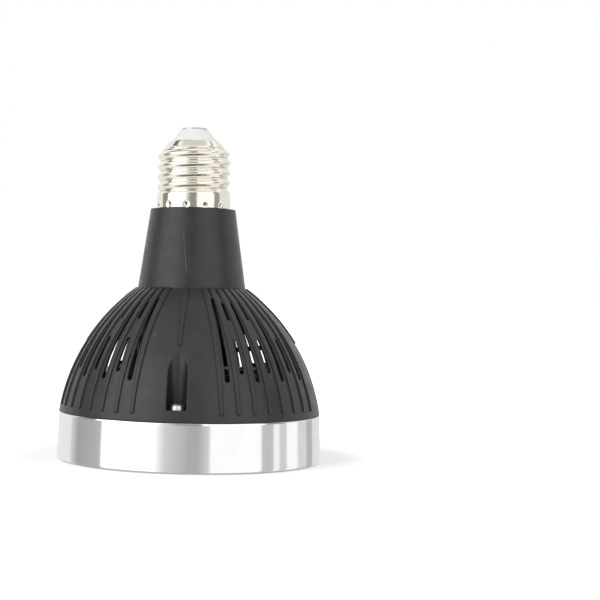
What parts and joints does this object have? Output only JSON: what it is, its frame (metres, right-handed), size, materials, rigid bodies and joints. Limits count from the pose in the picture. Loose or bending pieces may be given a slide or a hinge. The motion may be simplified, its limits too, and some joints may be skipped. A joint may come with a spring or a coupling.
{
  "type": "reflector spotlight bulb",
  "caption": "Reflector spotlight bulb with a screw cap, a slotted black housing cooled by a fan inside, a polished metal front ring and round lenses in its face.",
  "frame": {"origin": "centre of the front ring's foot, on the plane the bulb stands on with its light face down", "axes": "+Z along the bulb's axis towards the screw cap; a housing screw lies towards each of +X, -X, +Y and -Y"},
  "size_m": [0.095, 0.095, 0.1195],
  "materials": {
    "housing_plastic": "fine matt texture, black",
    "ring_aluminium": "turned and polished",
    "screw_steel": "zinc plated",
    "sink_aluminium": "as extruded",
    "fan_plastic": "plain, black",
    "fan_bronze": "sintered",
    "fan_steel": "plain",
    "light_board": "white solder mask",
    "light_package": "phosphor coat",
    "lens_acrylic": "clear, polished",
    "holder_plastic": "plain, black",
    "cup_plastic": "plain, black",
    "circuit_board": "green solder mask",
    "winding_tape": "yellow tape on a dark core",
    "capacitor_sleeve": "shrunk sleeve",
    "ferrite": "plain",
    "component_plastic": "moulded",
    "cap_nickel": "nickel plated",
    "cap_insulator": "pale moulding",
    "lead_red": "insulated lead",
    "lead_black": "insulated lead",
    "lead_white": "insulated lead"
  },
  "bodies": {
    "bulb": {"housing": "housing_plastic", "front_ring": "ring_aluminium", "housing_screws": "screw_steel", "fan_screws": "screw_steel", "holder_screw": "screw_steel", "heat_sink": "sink_aluminium", "fan_frame": "fan_plastic", "fan_bearing": "fan_bronze", "fan_stator": "fan_steel", "led_board": "light_board", "led_1": "light_package", "led_2": "light_package", "led_3": "light_package", "led_4": "light_package", "lens_1": "lens_acrylic", "lens_2": "lens_acrylic", "lens_3": "lens_acrylic", "lens_4": "lens_acrylic", "lens_holder": "holder_plastic", "driver_cup": "cup_plastic", "driver_board": "circuit_board", "transformer": "winding_tape", "input_capacitor": "capacitor_sleeve", "output_capacitor": "capacitor_sleeve", "line_choke": "ferrite", "rectifier": "component_plastic", "fuse_resistor": "component_plastic", "screw_shell": "cap_nickel", "centre_contact": "cap_nickel", "base_insulator": "cap_insulator", "led_wire_red": "lead_red", "live_wire": "lead_red", "led_wire_black": "lead_black", "fan_lead": "lead_black", "neutral_wire": "lead_white"},
    "fan_wheel": {"fan_rotor": "fan_plastic", "fan_shaft": "fan_steel"}
  },
  "joints": [
    {"name": "fan_spin", "type": "hinge", "parent": "bulb", "child": "fan_wheel", "pos_m": [0, 0, 0.0277], "axis": [0, 0, 1], "continuous": true}
  ]
}
